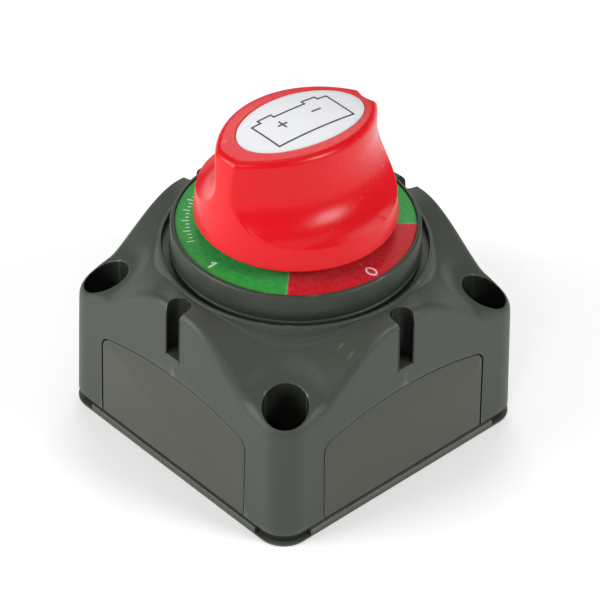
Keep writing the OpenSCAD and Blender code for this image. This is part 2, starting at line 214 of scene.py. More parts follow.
def makeWearAndHighlightGroup():
    # a mask that is 1 on sharp, light-catching edges, where wear and a painted highlight lighten the colour
    tree = bpy.data.node_groups.new("edgeWearAndHighlight", "ShaderNodeTree")
    newSocket(tree, "Low", "INPUT", "NodeSocketFloat", 0.52)
    newSocket(tree, "High", "INPUT", "NodeSocketFloat", 0.62)
    newSocket(tree, "Patch Size", "INPUT", "NodeSocketFloat", 900)
    newSocket(tree, "Mask", "OUTPUT", "NodeSocketFloat")
    start = tree.nodes.new("NodeGroupInput")
    end = tree.nodes.new("NodeGroupOutput")
    shape = tree.nodes.new("ShaderNodeNewGeometry")
    ramp = tree.nodes.new("ShaderNodeMapRange")
    link(tree, shape.outputs["Pointiness"], ramp.inputs["Value"])
    link(tree, start.outputs["Low"], ramp.inputs["From Min"])
    link(tree, start.outputs["High"], ramp.inputs["From Max"])
    place3d = tree.nodes.new("ShaderNodeTexCoord")
    patches = tree.nodes.new("ShaderNodeTexNoise")
    link(tree, place3d.outputs["Object"], patches.inputs["Vector"])
    link(tree, start.outputs["Patch Size"], patches.inputs["Scale"])
    product = tree.nodes.new("ShaderNodeMath")
    product.operation = "MULTIPLY"
    link(tree, ramp.outputs["Result"], product.inputs[0])
    link(tree, patches.outputs["Fac"], product.inputs[1])
    link(tree, product.outputs[0], end.inputs["Mask"])
    return tree


grainGroup = makeGrainGroup()
wearAndHighlightGroup = makeWearAndHighlightGroup()
grainDepth = 0.00006
brushing = {"bump": 0.1, "depth": 0.00004, "driftSize": 180}


def mouldedPlastic(name, look):
    # a moulded plastic: grain in the height, drift in the colour and the roughness, lighter on sharp edges for wear
    # and as a painted highlight
    material = bpy.data.materials.new(name)
    material.use_nodes = True
    tree = material.node_tree
    shader = tree.nodes["Principled BSDF"]
    shader.inputs["Specular IOR Level"].default_value = look.get("specular", 0.5)
    grain = tree.nodes.new("ShaderNodeGroup")
    grain.node_tree = grainGroup
    grain.inputs["Grain Size"].default_value = look["grainSize"]
    grain.inputs["Drift Size"].default_value = look.get("driftSize", 60)
    edges = tree.nodes.new("ShaderNodeGroup")
    edges.node_tree = wearAndHighlightGroup
    edges.inputs["Low"].default_value = look.get("edgeLow", 0.52)
    edges.inputs["High"].default_value = look.get("edgeHigh", 0.66)
    base = tree.nodes.new("ShaderNodeMix")
    base.data_type = "RGBA"
    base.inputs["A"].default_value = (*look["dark"], 1)
    base.inputs["B"].default_value = (*look["light"], 1)
    link(tree, grain.outputs["Drift"], base.inputs["Factor"])
    # wear and painted highlight: a lighter colour mixed in on sharp edges
    wearAndHighlight = tree.nodes.new("ShaderNodeMix")
    wearAndHighlight.data_type = "RGBA"
    wearAndHighlight.inputs["B"].default_value = (*look["wearAndHighlight"], 1)
    link(tree, base.outputs["Result"], wearAndHighlight.inputs["A"])
    link(tree, edges.outputs["Mask"], wearAndHighlight.inputs["Factor"])
    specked = tree.nodes.new("ShaderNodeMix")
    specked.data_type = "RGBA"
    specked.inputs["B"].default_value = (*look["speck"], 1)
    speckAmount = tree.nodes.new("ShaderNodeMath")
    speckAmount.operation = "MULTIPLY"
    speckAmount.inputs[1].default_value = look.get("speckAmount", 0.3)
    link(tree, grain.outputs["Speck"], speckAmount.inputs[0])
    link(tree, speckAmount.outputs[0], specked.inputs["Factor"])
    link(tree, wearAndHighlight.outputs["Result"], specked.inputs["A"])
    link(tree, specked.outputs["Result"], shader.inputs["Base Color"])
    rough = tree.nodes.new("ShaderNodeMapRange")
    rough.inputs["To Min"].default_value = look["roughness"][0]
    rough.inputs["To Max"].default_value = look["roughness"][1]
    link(tree, grain.outputs["Drift"], rough.inputs["Value"])
    link(tree, rough.outputs["Result"], shader.inputs["Roughness"])
    bump = tree.nodes.new("ShaderNodeBump")
    bump.inputs["Strength"].default_value = look["bump"]
    bump.inputs["Distance"].default_value = grainDepth
    link(tree, grain.outputs["Height"], bump.inputs["Height"])
    link(tree, bump.outputs["Normal"], shader.inputs["Normal"])
    return material


def turnedMetal(name, look):
    # plated or turned metal: fine brushing, stains in the colour and in the gloss
    material = bpy.data.materials.new(name)
    material.use_nodes = True
    tree = material.node_tree
    shader = tree.nodes["Principled BSDF"]
    shader.inputs["Metallic"].default_value = 1.0
    grain = tree.nodes.new("ShaderNodeGroup")
    grain.node_tree = grainGroup
    grain.inputs["Grain Size"].default_value = look["grainSize"]
    grain.inputs["Drift Size"].default_value = brushing["driftSize"]
    base = tree.nodes.new("ShaderNodeMix")
    base.data_type = "RGBA"
    base.inputs["A"].default_value = (*look["dark"], 1)
    base.inputs["B"].default_value = (*look["light"], 1)
    link(tree, grain.outputs["Drift"], base.inputs["Factor"])
    link(tree, base.outputs["Result"], shader.inputs["Base Color"])
    rough = tree.nodes.new("ShaderNodeMapRange")
    rough.inputs["To Min"].default_value = look["roughness"][0]
    rough.inputs["To Max"].default_value = look["roughness"][1]
    link(tree, grain.outputs["Drift"], rough.inputs["Value"])
    link(tree, rough.outputs["Result"], shader.inputs["Roughness"])
    bump = tree.nodes.new("ShaderNodeBump")
    bump.inputs["Strength"].default_value = brushing["bump"]
    bump.inputs["Distance"].default_value = brushing["depth"]
    link(tree, grain.outputs["Height"], bump.inputs["Height"])
    link(tree, bump.outputs["Normal"], shader.inputs["Normal"])
    return material


housingLook = {
    "dark": (0.035, 0.043, 0.032), "light": (0.045, 0.053, 0.040), "wearAndHighlight": (0.14, 0.155, 0.13),
    "speck": (0.12, 0.135, 0.11), "speckAmount": 0.35, "roughness": (0.40, 0.52), "grainSize": 3200,
    "bump": 0.45, "specular": 0.4,
}
coverLook = dict(housingLook, dark=(0.040, 0.045, 0.031), light=(0.050, 0.055, 0.039), driftSize=45)
collarLook = dict(housingLook, dark=(0.024, 0.033, 0.022), light=(0.032, 0.041, 0.029), driftSize=50)
plateLook = dict(housingLook, dark=(0.046, 0.052, 0.037), light=(0.058, 0.064, 0.047))
knobLook = {
    "dark": (0.66, 0.0015, 0.006), "light": (0.72, 0.0025, 0.009), "wearAndHighlight": (0.92, 0.12, 0.11),
    "speck": (0.84, 0.04, 0.045), "speckAmount": 0.15, "roughness": (0.25, 0.31), "grainSize": 3600,
    "bump": 0.10, "edgeLow": 0.55, "edgeHigh": 0.72, "specular": 0.27,
}
greenLook = {
    "dark": (0.006, 0.25, 0.018), "light": (0.009, 0.29, 0.024), "wearAndHighlight": (0.25, 0.7, 0.35),
    "speck": (0.03, 0.5, 0.11), "speckAmount": 0.1, "roughness": (0.30, 0.38), "grainSize": 5200, "bump": 0.05,
    "specular": 0.1,
}
redLook = dict(greenLook, dark=(0.46, 0.0008, 0.008), light=(0.51, 0.001, 0.012), wearAndHighlight=(0.75, 0.15, 0.15),
               speck=(0.6, 0.01, 0.03))
badgeLook = {
    "dark": (0.70, 0.71, 0.74), "light": (0.74, 0.75, 0.78), "wearAndHighlight": (0.92, 0.93, 0.95),
    "speck": (0.85, 0.87, 0.9), "speckAmount": 0.05, "roughness": (0.28, 0.36), "grainSize": 5200, "bump": 0.03,
}
inkLook = {
    "dark": (0.004, 0.006, 0.006), "light": (0.007, 0.009, 0.009), "wearAndHighlight": (0.02, 0.02, 0.02),
    "speck": (0.03, 0.03, 0.03), "speckAmount": 0.1, "roughness": (0.4, 0.5), "grainSize": 6000, "bump": 0.03,
}
greenInkLook = dict(badgeLook, dark=(0.55, 0.82, 0.55), light=(0.62, 0.88, 0.62))
pinkInkLook = dict(badgeLook, dark=(0.80, 0.42, 0.46), light=(0.86, 0.50, 0.54))
# painted shade: a near-black copy of the housing plastic, put on the faces of deep recesses
paintedShadeLook = dict(housingLook, dark=(0.010, 0.012, 0.009), light=(0.014, 0.016, 0.012), wearAndHighlight=(0.05, 0.055, 0.045),
                 speck=(0.02, 0.022, 0.018), specular=0.25)
insulatorLook = dict(housingLook, dark=(0.03, 0.031, 0.032), light=(0.04, 0.041, 0.042), wearAndHighlight=(0.09, 0.09, 0.09),
                     speck=(0.06, 0.06, 0.06), roughness=(0.45, 0.6))
nylonLook = dict(housingLook, dark=(0.62, 0.59, 0.50), light=(0.70, 0.67, 0.58), wearAndHighlight=(0.8, 0.78, 0.7),
                 speck=(0.75, 0.72, 0.63), roughness=(0.35, 0.45), bump=0.1)
rubberLook = dict(housingLook, dark=(0.012, 0.012, 0.012), light=(0.022, 0.022, 0.022), wearAndHighlight=(0.06, 0.06, 0.06),
                  speck=(0.04, 0.04, 0.04), roughness=(0.6, 0.75), bump=0.2)
steelLook = {"dark": (0.50, 0.50, 0.48), "light": (0.66, 0.66, 0.64), "roughness": (0.22, 0.38), "grainSize": 2600}
springLook = {"dark": (0.28, 0.28, 0.29), "light": (0.42, 0.42, 0.43), "roughness": (0.25, 0.4), "grainSize": 2600}
brassLook = {"dark": (0.62, 0.44, 0.18), "light": (0.74, 0.56, 0.28), "roughness": (0.2, 0.34), "grainSize": 2600}
copperLook = {"dark": (0.62, 0.28, 0.16), "light": (0.78, 0.40, 0.26), "roughness": (0.22, 0.4), "grainSize": 2600}
silverLook = {"dark": (0.72, 0.71, 0.68), "light": (0.84, 0.83, 0.80), "roughness": (0.15, 0.3), "grainSize": 2600}
tinLook = {"dark": (0.60, 0.58, 0.53), "light": (0.74, 0.71, 0.66), "roughness": (0.2, 0.36), "grainSize": 2600}

housingPlastic = mouldedPlastic("housingPlastic", housingLook)
paintedShadePlastic = mouldedPlastic("recessPaintedShade", paintedShadeLook)
coverPlastic = mouldedPlastic("coverPlastic", coverLook)
collarPlastic = mouldedPlastic("collarPlastic", collarLook)
platePlastic = mouldedPlastic("platePlastic", plateLook)
knobPlastic = mouldedPlastic("knobPlastic", knobLook)
greenFilm = mouldedPlastic("greenFilm", greenLook)
redFilm = mouldedPlastic("redFilm", redLook)
whiteFilm = mouldedPlastic("whiteFilm", badgeLook)
blackInk = mouldedPlastic("blackInk", inkLook)
greenInk = mouldedPlastic("paleGreenInk", greenInkLook)
pinkInk = mouldedPlastic("palePinkInk", pinkInkLook)
cadMaterials = {
    "insulator": mouldedPlastic("blackInsulator", insulatorLook),
    "nylon": mouldedPlastic("naturalNylon", nylonLook),
    "seal_rubber": mouldedPlastic("sealRubber", rubberLook),
    "plated_steel": turnedMetal("platedSteel", steelLook),
    "spring_steel": turnedMetal("springSteel", springLook),
    "brass": turnedMetal("turnedBrass", brassLook),
    "copper": turnedMetal("pressedCopper", copperLook),
    "silver_contact": turnedMetal("silverContact", silverLook),
    "tinned_copper": turnedMetal("tinnedCopper", tinLook),
}
print("materials ready:", len(bpy.data.materials))

# ---------- housing ----------

housing = {
    # the outside
    "half": 34.5, "lean": 0.02, "cornerRadius": 6.0, "cornerZ": 30.0, "deckZ": 43.5, "saddleFrom": 3,
    "saddleOver": 25.5, "footZ": 0.8, "sideZ": 2.7, "lipStep": 0.2, "footFrom": 26.5, "footInset": 0.9,
    "topRound": 1.9, "gaugeZ": 38,
    # the ring under the dial and the hub in it
    "rimRadius": 28.7, "rimZ": 43.9, "rimInner": 27.9, "rimDrop": 0.45, "rimRound": 0.35, "lipRound": 0.2,
    "filletMost": 1.3, "filletLeast": 0.12, "filletShare": 0.35, "recessZ": 42.0, "hubRadius": 9.0,
    "hubZ": 49.0, "hubRound": 0.3, "boreRadius": 5.05, "boreFoot": 40,
    # screw pockets and their seats
    "screwAt": 28.07, "screwHole": 2.6, "pocketRadius": 4.75, "pocketRound": 0.4, "pocketFloor": 12.0,
    "pocketRing": 24, "pocketAbove": 20, "pocketTurns": (25, 45, 65, 90), "seatZ": 32.55, "seatFall": 0.31,
    "seatInner": 5.4, "seatOuter": 9.5,
    # linking slots
    "linkAt": 32.1, "linkRadius": 2.5, "linkMouth": 3.8, "linkFloor": 30.9, "linkRun": 6,
    # the hollow: cable chamber, posts and the stepped bore for the works as (radius, height)
    "chamberHalf": 31.4, "chamberCorner": 3, "chamberTop": 24.6, "postRadius": 6.6, "holeTop": 14,
    "works": [(0, 23), (27.2, 23), (27.2, 28), (21.5, 28), (21.5, 39.5), (5.05, 39.5), (5.05, 41), (0, 41)],
    "turns": 360,
}
coverSizes = {
    "half": 22.8, "topZ": 25.9, "archRadius": 78, "corner": 3, "leastCorner": 0.8, "rebate": 1.2,
    "mouthDepth": 1.5, "panelDepth": 5, "chamberSide": 31, "gap": 0.3, "skin": 1.3, "plug": 2.9,
    "bottom": 2.85, "edgeRound": 0.22,
}


def surfaceZ(x, y):
    # level near the middle lines, sunk towards the corners, with a flatter seat round each screw pocket
    h = housing
    w = abs(x * y) / h["half"]
    share = max(0.0, min(1.0, (w - h["saddleFrom"]) / h["saddleOver"]))
    z = h["deckZ"] - (h["deckZ"] - h["cornerZ"]) * (1 - math.cos(math.pi * share)) / 2
    away = math.hypot(abs(x) - h["screwAt"], abs(y) - h["screwAt"])
    near = max(0.0, min(1.0, (h["seatOuter"] - away) / (h["seatOuter"] - h["seatInner"])))
    seat = h["seatZ"] - h["seatFall"] * (abs(x) + abs(y) - 2 * h["screwAt"])
    return lerp(z, seat, near * near * (3 - 2 * near))


def edgeRadius(a, half, corner):
    # distance from the axis to a rounded square, in the direction a
    c, s, k = abs(math.cos(a)), abs(math.sin(a)), half - corner
    flat = half / max(c, s)
    if flat * min(c, s) <= k:
        return flat
    return k * (c + s) + math.sqrt((k * (c + s)) ** 2 - 2 * k * k + corner ** 2)


def insetAt(x, y, half):
    # how far a point lies inside the rounded square
    k = half - housing["cornerRadius"]
    dx, dy = abs(x) - k, abs(y) - k
    if dx > 0 and dy > 0:
        return housing["cornerRadius"] - math.hypot(dx, dy)
    return half - max(abs(x), abs(y))


def topAt(x, y):
    z = surfaceZ(x, y)
    r = housing["topRound"]
    d = insetAt(x, y, housing["half"] - housing["lean"] * z)
    if d >= r:
        return z
    return z - r + math.sqrt(max(0.0, r * r - (r - max(0.0, d)) ** 2))


def housingRing(kind, t, a):
    # the point of one ring of the housing's skin, in the direction a
    h = housing
    half, lean, corner, sideZ, step = h["half"], h["lean"], h["cornerRadius"], h["sideZ"], h["lipStep"]
    ca, sa = math.cos(a), math.sin(a)
    rough = edgeRadius(a, half - lean * h["gaugeZ"], corner)
    crest = surfaceZ(rough * ca, rough * sa)
    r = h["topRound"]
    if kind == "foot":
        inset = h["footInset"] if t < 2 else step * (3 - t)
        q = edgeRadius(a, half - lean * sideZ - inset, corner - inset)
        return q * ca, q * sa, (h["footZ"], sideZ, sideZ, sideZ + step)[t]
    if kind == "wall":
        z = lerp(sideZ + step, crest - r, t)
        q = edgeRadius(a, half - lean * z, corner)
        return q * ca, q * sa, z
    if kind == "round":
        turn = math.radians(90 * t)
        q = edgeRadius(a, half - lean * crest - r * (1 - math.cos(turn)), corner)
        x, y = q * ca, q * sa
        return x, y, topAt(x, y)
    rim = h["rimRadius"]
    foot = surfaceZ(rim * ca, rim * sa)
    fillet = min(h["filletMost"], max(h["filletLeast"], (h["rimZ"] - foot) * h["filletShare"]))
    if kind == "slope":
        outer = edgeRadius(a, half - lean * crest - r, corner)
        q = lerp(outer, rim + fillet, t)
        return q * ca, q * sa, topAt(q * ca, q * sa)
    if kind == "cove":
        turn = math.radians(90 * t)
        q = rim + fillet * (1 - math.sin(turn))
        base = surfaceZ((rim + fillet) * ca, (rim + fillet) * sa)
        z = lerp(base, foot, t) + fillet * (1 - math.cos(turn))
        return q * ca, q * sa, z
    low = foot + fillet
    high = h["rimZ"] - min(h["rimDrop"], (h["rimZ"] - low) * 0.8)
    if kind == "collarWall":
        return rim * ca, rim * sa, lerp(low, high, t)
    turn = math.radians(90 * t)
    drop = h["rimZ"] - high
    q = rim - h["rimRound"] * (1 - math.cos(turn))
    return q * ca, q * sa, high + drop * math.sin(turn)


def housingSkin():
    kinds = [("foot", i) for i in range(4)]
    kinds += [("wall", i / 14) for i in range(1, 14)]
    kinds += [("round", i / 9) for i in range(10)]
    kinds += [("slope", i / 30) for i in range(1, 30)]
    kinds += [("cove", i / 6) for i in range(7)]
    kinds += [("collarWall", i / 6) for i in range(1, 6)]
    kinds += [("rim", i / 5) for i in range(6)]
    # the axis part after the rim needs no shaping: rim top, recess, hub and bore
    h = housing
    lip, hubRound = h["lipRound"], h["hubRound"]
    inner = [(h["rimInner"] + lip, h["rimZ"])] + arc(h["rimInner"] + lip, h["rimZ"] - lip, lip, 90, 180, 3)[1:]
    inner += [(h["rimInner"], h["recessZ"]), (h["hubRadius"], h["recessZ"]), (h["hubRadius"], h["hubZ"] - hubRound)]
    inner += [(h["hubRadius"] - hubRound, h["hubZ"]), (h["boreRadius"], h["hubZ"]), (h["boreRadius"], h["boreFoot"])]
    # the ring's number is kept in z until the rings are shaped
    profile = [(60, -1000 - i) for i in range(len(kinds))] + inner
    bm = spinProfile(profile, h["turns"])
    for v in bm.verts:
        if v.co.z < -900:
            kind, t = kinds[round(-1000 - v.co.z)]
            v.co = housingRing(kind, t, math.atan2(v.co.y, v.co.x))
    punchPockets(bm)
    bmesh.ops.holes_fill(bm, edges=[e for e in bm.edges if e.is_boundary], sides=0)
    return bm


def punchPockets(bm):
    # opens the four screw pockets in the skin, with a rounded mouth that follows the slope
    h = housing
    mouth = h["pocketRadius"] + h["pocketRound"]
    for sx, sy in cornerSigns:
        cx, cy = sx * h["screwAt"], sy * h["screwAt"]

        def near(v, reach):
            return v.co.z > h["pocketAbove"] and math.hypot(v.co.x - cx, v.co.y - cy) < mouth + reach

        gone = [f for f in bm.faces if all(near(v, 0.15) for v in f.verts)]
        bmesh.ops.delete(bm, geom=gone, context="FACES")
        loose = [v for v in bm.verts if not v.link_faces]
        bmesh.ops.delete(bm, geom=loose, context="VERTS")
        edges = [e for e in bm.edges if e.is_boundary and all(near(v, 2) for v in e.verts)]
        for v in {v for e in edges for v in e.verts}:
            moveToRing(v, cx, cy, mouth)
            v.co.z = topAt(v.co.x, v.co.y)
        for turn in h["pocketTurns"]:
            share, drop = 1 - math.sin(math.radians(turn)), 1 - math.cos(math.radians(turn))
            edges = pullRing(bm, edges)
            for v in {v for e in edges for v in e.verts}:
                moveToRing(v, cx, cy, h["pocketRadius"] + h["pocketRound"] * share)
                v.co.z = topAt(v.co.x, v.co.y) - h["pocketRound"] * drop - 0.02
        for z in (h["pocketRing"], h["pocketFloor"]):
            edges = pullRing(bm, edges)
            for v in {v for e in edges for v in e.verts}:
                v.co.z = z


def moveToRing(v, cx, cy, radius):
    d = math.hypot(v.co.x - cx, v.co.y - cy)
    v.co.x = cx + (v.co.x - cx) * radius / d
    v.co.y = cy + (v.co.y - cy) * radius / d


def pullRing(bm, edges):
    pulled = bmesh.ops.extrude_edge_only(bm, edges=edges)["geom"]
    return [g for g in pulled if isinstance(g, bmesh.types.BMEdge) and g.is_boundary]


def coverOutline(margin, bottomZ):
    # the arched outline of a side cover, x across and z up
    s = coverSizes
    w, archRadius = s["half"] - margin, s["archRadius"] - margin
    r = max(s["leastCorner"], s["corner"] - margin)
    archCentre = s["topZ"] - s["archRadius"]
    cornerCentre = archCentre + math.sqrt((archRadius - r) ** 2 - (w - r) ** 2)
    tilt = math.degrees(math.atan2(w - r, cornerCentre - archCentre))
    points = [(-w, bottomZ), (w, bottomZ)]
    points += arc(w - r, cornerCentre, r, 0, 90 - tilt, 8)
    points += arc(0, archCentre, archRadius, 90 - tilt, 90 + tilt, 30)[1:-1]
    points += arc(r - w, cornerCentre, r, 90 + tilt, 180, 8)
    return points


def ontoWall(bm, d0, turn):
    # an upright prism made in XY, laid on the leaning front wall at the depth d0 and turned to its side
    bmesh.ops.rotate(bm, cent=(0, 0, 0), matrix=Matrix.Rotation(math.radians(90), 3, "X"), verts=bm.verts)
    bmesh.ops.translate(bm, vec=(0, d0, 0), verts=bm.verts)
    lean = Matrix.Rotation(-math.atan(housing["lean"]), 3, "X")
    bmesh.ops.rotate(bm, cent=(0, 0, 0), matrix=lean, verts=bm.verts)
    bmesh.ops.translate(bm, vec=(0, -housing["half"], 0), verts=bm.verts)
    return rotated(bm, turn)


def paintShadeInRecesses(obj, isRecess):
    # paints shade into deep recesses: the faces picked by their middle, in millimetres, get the near-black
    # painted-shade plastic
    mesh = obj.data
    mesh.materials.append(paintedShadePlastic)
    for face in mesh.polygons:
        x, y, z = (c / mm for c in face.center)
        if isRecess(x, y, z, face.normal):
            face.material_index = len(mesh.materials) - 1


def inHousingShadedRecess(x, y, z, normal):
    # painted shade below the foot of the side walls, in the screw pockets, on the linking slots' walls and in the
    # gaps round the side covers
    h = housing
    if z < h["sideZ"] - 0.02 or math.hypot(abs(x) - h["screwAt"], abs(y) - h["screwAt"]) < h["pocketRadius"] + 0.02:
        return True
    across, out = sorted((abs(x), abs(y)))
    if across < h["linkRadius"] + 0.02 and z < topAt(x, y) - 0.25 and h["linkFloor"] - 0.1 < z:
        return out > h["linkAt"] - h["linkRadius"] - 0.02 and abs(normal.z) < 0.5
    # the narrow gaps round the side covers
    s = coverSizes
    outerFace = h["half"] - h["lean"] * z - 0.05
    return z < s["topZ"] + 0.3 and across < s["half"] + 0.2 and s["chamberSide"] < out < outerFace


def makeHousing():
    h, s = housing, coverSizes
    body = newObject("housingShell", housingSkin(), housingPlastic)
    # the underside is raised everywhere but at the four feet
    f, far = h["footFrom"], h["half"] + 2
    cross = [(f, -far), (f, -f), (far, -f), (far, f), (f, f), (f, far), (-f, far), (-f, f), (-far, f), (-far, -f),
             (-f, -f), (-f, -far)]
    cutWith(body, prism(cross, -1, h["sideZ"]))
    # cable chamber, with a post left round each screw
    outline = roundedSquare(h["chamberHalf"], h["chamberCorner"])
    chamber = newObject("chamberCut", prism(outline, -1, h["chamberTop"]), None)
    posts = bmesh.new()
    for sx, sy in cornerSigns:
        joinInto(posts, prism(disc(h["postRadius"], 64, sx * h["screwAt"], sy * h["screwAt"]), -3, 30))
    cutWith(chamber, posts)
    hollow = bmesh.new()
    hollow.from_mesh(chamber.data)
    bmesh.ops.scale(hollow, vec=(1 / mm, 1 / mm, 1 / mm), verts=hollow.verts)
    bpy.data.objects.remove(chamber)
    cutWith(body, hollow)
    cutWith(body, spinProfile(h["works"], 128))
    holes = bmesh.new()
    slots = bmesh.new()
    mouths = bmesh.new()
    panels = bmesh.new()
    for k, (sx, sy) in enumerate(cornerSigns):
        joinInto(holes, prism(disc(h["screwHole"], 48, sx * h["screwAt"], sy * h["screwAt"]), -1, h["holeTop"]))
        joinInto(slots, rotated(prism(keyhole(), h["linkFloor"], 50), 90 * k))
        joinInto(mouths, ontoWall(prism(coverOutline(0, 0), -s["mouthDepth"], 2), 0, 90 * k))
        joinInto(panels, ontoWall(prism(coverOutline(s["rebate"], 0), -s["panelDepth"], 2), 0, 90 * k))
    for cutter in (holes, slots, mouths, panels):
        cutWith(body, cutter, selfCrossing=True)
    shadeSmooth(body.data, 32)
    # painted shade in the housing's deep recesses
    paintShadeInRecesses(body, inHousingShadedRecess)
    return place(body, "housing", "housing_plastic", "case")


def keyhole():
    # a round end and a parallel mouth that runs out through the wall
    r, half, at = housing["linkRadius"], housing["linkMouth"] / 2, housing["linkAt"]
    side = math.degrees(math.asin(half / r))
    points = arc(0, -at, r, -90 + side, 270 - side, 36)
    return points + [(-half, -at - housing["linkRun"]), (half, -at - housing["linkRun"])]


def roundedSquare(half, corner, steps=10):
    points = []
    k = half - corner
    for n, (sx, sy) in enumerate(cornerSigns):
        points += arc(sx * k, sy * k, corner, 90 * n, 90 * n + 90, steps)
    return points


housingShell = makeHousing()
print("housing ready:", len(housingShell.data.polygons), "faces")

# ---------- side covers and base plate ----------


def bevelledPrism(outline, z0, z1, width, segments=3):
    # a prism whose upper rim is rounded
    bm = prism(outline, z0, z1)
    rim = [e for e in bm.edges if all(abs(v.co.z - z1) < 0.001 for v in e.verts)]
    bmesh.ops.bevel(bm, geom=rim, offset=width, segments=segments, profile=0.5, affect="EDGES", material=-1)
    return bm


def makeCover(name, body, node, turn):
    s = coverSizes
    skin = bevelledPrism(coverOutline(s["gap"], s["bottom"]), -s["skin"], 0, s["edgeRound"])
    plug = prism(coverOutline(s["rebate"] + s["gap"], s["bottom"]), -s["plug"], -s["skin"] + 0.1)
    bm = joinInto(skin, plug)
    cover = newObject(name, ontoWall(bm, 0, turn), coverPlastic)
    return place(cover, body, "cover_plastic", node)


for side, turn in (("front", 0), ("right", 90), ("back", 180), ("left", 270)):
    makeCover(side + "Cover", "cover_" + side, "side_cover_" + side, turn)

plateSizes = {"half": 34.5, "corner": 6.0, "edgeZ": 1.9, "topZ": 2.6, "step": 0.9, "lipZ": 0.6, "edgeRound": 0.25,
              "screwHole": 2.6, "footGap": 0.3, "cutTop": 8}


def makeBasePlate():
    s = plateSizes
    bm = prism(roundedSquare(s["half"], s["corner"]), 0, s["edgeZ"])
    rims = [e for e in bm.edges if all(abs(v.co.z - e.verts[0].co.z) < 0.001 for v in e.verts)]
    bmesh.ops.bevel(bm, geom=rims, offset=s["edgeRound"], segments=3, profile=0.5, affect="EDGES", material=-1)
    plate = newObject("basePlate", bm, platePlastic)
    upper = prism(roundedSquare(s["half"] - s["step"], s["corner"] - s["step"]), 1, s["topZ"])
    cutWith(plate, upper, "UNION")
    feet = bmesh.new()
    holes = bmesh.new()
    f, far = housing["footFrom"] - s["footGap"], s["half"] + 2
    for sx, sy in cornerSigns:
        corner = [(sx * f, sy * f), (sx * far, sy * f), (sx * far, sy * far), (sx * f, sy * far)]
        joinInto(feet, prism(corner, s["lipZ"], s["cutTop"]))
        hole = disc(s["screwHole"], 48, sx * housing["screwAt"], sy * housing["screwAt"])
        joinInto(holes, prism(hole, -1, s["cutTop"]))
    cutWith(plate, feet)
    cutWith(plate, holes)
    shadeSmooth(plate.data, 32)
    # painted shade on the plate's raised top and in its screw holes
    paintShadeInRecesses(plate, inPlateShadedRecess)
    return place(plate, "base", "plate_plastic", "base_plate")


def inPlateShadedRecess(x, y, z, normal):
    # painted shade on the plate's raised top under the housing and in its screw holes
    s, at = plateSizes, housing["screwAt"]
    return z > s["edgeZ"] + 0.01 or math.hypot(abs(x) - at, abs(y) - at) < s["screwHole"] + 0.1


makeBasePlate()
print("covers and base plate ready")

# ---------- dial ----------

dial = {"collarRadius": 26.3, "collarFoot": 42.05, "labelRadius": 25.1, "labelInner": 12.0, "labelZ": 49.2,
        "film": 0.4, "beadZ": 43.2, "beadOut": 0.2, "redFrom": -46.5, "redTo": 46, "printRadius": 22.85, "ink": 0.03,
        "bore": 9.2, "footIn": 0.9, "footStep": 0.6, "topRound": 0.7}


def makeCollar():
    d = dial
    r, top, lip = d["collarRadius"], d["labelZ"] + 0.3, d["labelRadius"] + 0.12
    wall, bead, foot, soft = r - d["beadOut"], d["beadZ"], r - d["footIn"], d["topRound"]
    step = d["collarFoot"] + d["footStep"]
    profile = [(d["bore"], d["collarFoot"]), (foot, d["collarFoot"]), (foot, step), (r - 0.1, step), (r, step + 0.1)]
    profile += [(r, bead), (r - 0.06, bead + 0.1), (wall, bead + 0.22)]
    profile += arc(wall - soft, top - soft, soft, 0, 80, 8)
    profile += arc(lip + 0.12, top - 0.12, 0.12, 90, 180, 3)
    profile += [(lip, d["labelZ"] - d["film"]), (d["bore"], d["labelZ"] - d["film"])]
    collar = newObject("dialCollar", closedRing(profile, 180), collarPlastic)
    return place(collar, "housing", "collar_plastic", "dial_collar")


def makeFilm(name, material, start, angle):
    d = dial
    z0, z1 = d["labelZ"] - d["film"] + 0.01, d["labelZ"]
    profile = [(d["labelInner"], z0), (d["labelRadius"], z0)]
    profile += arc(d["labelRadius"] - 0.1, z1 - 0.1, 0.1, 0, 90, 3) + [(d["labelInner"], z1)]
    return newObject(name, closedRing(profile, int(angle), angle, start), material)


def makeDigitOne():
    # a plain numeral: a stem and a short flag, reading from the front
    s = {"height": 2.3, "stem": 0.42, "flag": ((-0.75, -0.65), (-0.5, -0.98), (0, -0.62))}
    h, w = s["height"] / 2, s["stem"] / 2
    outline = [(-w, -h), (w, -h), (w, h), (-w, h)] + [(x - w, y + h) for x, y in s["flag"]]
    bm = prism(outline, 0, dial["ink"])
    bmesh.ops.translate(bm, vec=(0, -dial["printRadius"], dial["labelZ"]), verts=bm.verts)
    return newObject("dialOne", bm, greenInk)


def makeDigitZero():
    # a plain oval numeral, turned to read from the right
    s = {"height": 3.0, "width": 2.1, "stroke": 0.42}
    outer = [(x * s["width"] / 2, y * s["height"] / 2) for x, y in disc(1, 48)]
    inner = [(x * (s["width"] / 2 - s["stroke"]), y * (s["height"] / 2 - s["stroke"])) for x, y in disc(1, 48)]
    bm = bmesh.new()
    rings = []
    for outline in (outer, inner):
        verts = [bm.verts.new((x, y, 0)) for x, y in outline]
        rings += [bm.edges.new((verts[i - 1], verts[i])) for i in range(len(verts))]
    bmesh.ops.bridge_loops(bm, edges=rings)
    raised = bmesh.ops.extrude_face_region(bm, geom=bm.faces[:])["geom"]
    bmesh.ops.translate(bm, vec=(0, 0, dial["ink"]), verts=[g for g in raised if isinstance(g, bmesh.types.BMVert)])
    bmesh.ops.translate(bm, vec=(0, -dial["printRadius"], dial["labelZ"]), verts=bm.verts)
    return newObject("dialZero", rotated(bm, 90), pinkInk)


